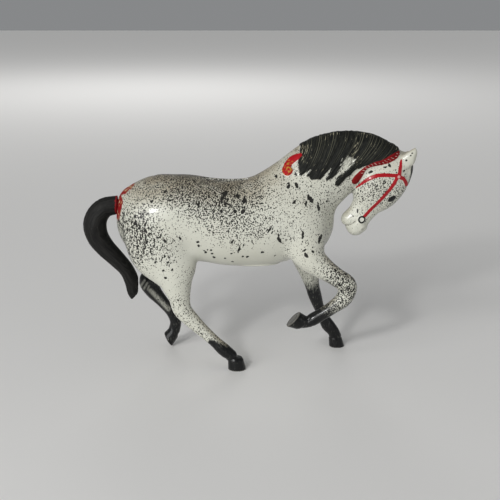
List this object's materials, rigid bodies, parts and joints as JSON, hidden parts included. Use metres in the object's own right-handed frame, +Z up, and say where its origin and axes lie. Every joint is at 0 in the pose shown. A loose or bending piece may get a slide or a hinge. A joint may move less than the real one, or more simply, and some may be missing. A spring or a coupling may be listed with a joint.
{
  "type": "figural animal coin bank",
  "caption": "Prancing horse coin bank in two screwed cast halves, with a clamped tail, coin slot on the back and a locking oval trap in the belly.",
  "frame": {"origin": "centre of the bounding box on the floor that the hooves stand on", "axes": "+X towards the horse's head, +Y towards the horse's left side, +Z up"},
  "size_m": [0.2438, 0.0609, 0.1735],
  "materials": {
    "dapple_paint": "off-white gloss paint with black speckle, black legs and red harness",
    "charcoal_paint": "satin charcoal paint",
    "steel": "plain",
    "trap_paint": "satin black paint",
    "brass": "satin"
  },
  "bodies": {
    "bank": {"right_body_half": "dapple_paint", "left_body_half": "dapple_paint", "tail": "charcoal_paint", "shoulder_screw": "steel", "rump_screw": "steel"},
    "trap": {"trap_plate": "trap_paint"},
    "lock": {"lock_barrel": "brass", "lock_bar": "steel", "lock_washer": "steel", "lock_nut": "steel"}
  },
  "joints": [
    {"name": "trap_drop", "type": "slide", "parent": "bank", "child": "trap", "axis": [0, 0, -1], "range_m": [0, 0.04]},
    {"name": "lock_turn", "type": "hinge", "parent": "trap", "child": "lock", "pos_m": [0.003, 0, 0.0795], "axis": [0, 0, 1], "range_deg": [0, 90]}
  ]
}
